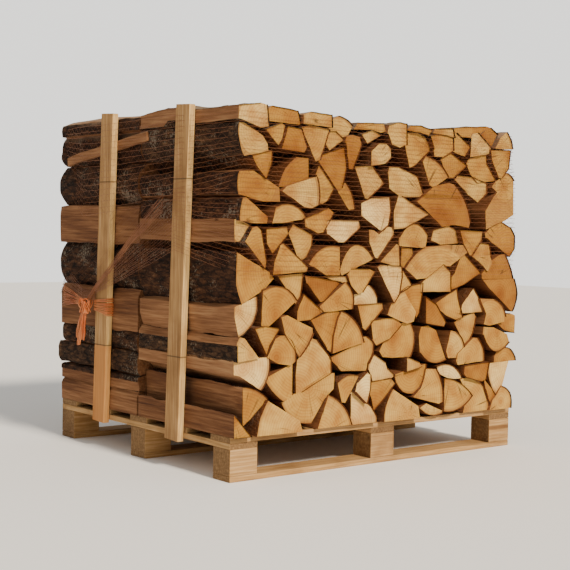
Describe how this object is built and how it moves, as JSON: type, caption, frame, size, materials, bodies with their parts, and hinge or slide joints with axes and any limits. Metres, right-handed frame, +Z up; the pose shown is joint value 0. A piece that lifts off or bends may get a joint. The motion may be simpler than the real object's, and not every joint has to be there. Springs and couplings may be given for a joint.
{
  "type": "firewood bundle on a pallet",
  "caption": "Split firewood logs stacked on a wooden pallet between upright boards and wrapped in orange netting.",
  "frame": {"origin": "on the ground under the middle of the pallet", "axes": "+X along the pallet's long side, -Y towards the cut ends of the front row of logs, +Z up"},
  "size_m": [1.301, 1.058, 1.1033],
  "materials": {
    "pallet_wood": "rough sawn",
    "post_wood": "rough sawn",
    "split_logs": "raw split, with bark",
    "netting": "knitted tape"
  },
  "bodies": {
    "root": {"bottom_board_front": "pallet_wood", "block_front_left": "pallet_wood", "block_front_middle": "pallet_wood", "block_front_right": "pallet_wood", "bottom_board_centre": "pallet_wood", "block_centre_left": "pallet_wood", "block_centre_middle": "pallet_wood", "block_centre_right": "pallet_wood", "bottom_board_back": "pallet_wood", "block_back_left": "pallet_wood", "block_back_middle": "pallet_wood", "block_back_right": "pallet_wood", "stringer_left": "pallet_wood", "stringer_middle": "pallet_wood", "stringer_right": "pallet_wood", "deck_board_1": "pallet_wood", "deck_board_2": "pallet_wood", "deck_board_3": "pallet_wood", "deck_board_4": "pallet_wood", "deck_board_5": "pallet_wood", "post_left_front": "post_wood", "post_left_back": "post_wood", "post_right_front": "post_wood", "post_right_back": "post_wood", "logs_front_bottom_left": "split_logs", "logs_front_bottom_centre": "split_logs", "logs_front_bottom_right": "split_logs", "logs_front_low_left": "split_logs", "logs_front_low_centre": "split_logs", "logs_front_low_right": "split_logs", "logs_front_middle_left": "split_logs", "logs_front_middle_centre": "split_logs", "logs_front_middle_right": "split_logs", "logs_front_high_left": "split_logs", "logs_front_high_centre": "split_logs", "logs_front_high_right": "split_logs", "logs_front_top_left": "split_logs", "logs_front_top_centre": "split_logs", "logs_front_top_right": "split_logs", "logs_back_bottom_left": "split_logs", "logs_back_bottom_centre": "split_logs", "logs_back_bottom_right": "split_logs", "logs_back_low_left": "split_logs", "logs_back_low_centre": "split_logs", "logs_back_low_right": "split_logs", "logs_back_middle_left": "split_logs", "logs_back_middle_centre": "split_logs", "logs_back_middle_right": "split_logs", "logs_back_high_left": "split_logs", "logs_back_high_centre": "split_logs", "logs_back_high_right": "split_logs", "logs_back_top_left": "split_logs", "logs_back_top_centre": "split_logs", "logs_back_top_right": "split_logs", "net_wrap": "netting", "net_gather": "netting", "net_loop": "netting", "net_knot": "netting", "net_fan": "netting", "net_tails": "netting"}
  },
  "joints": []
}
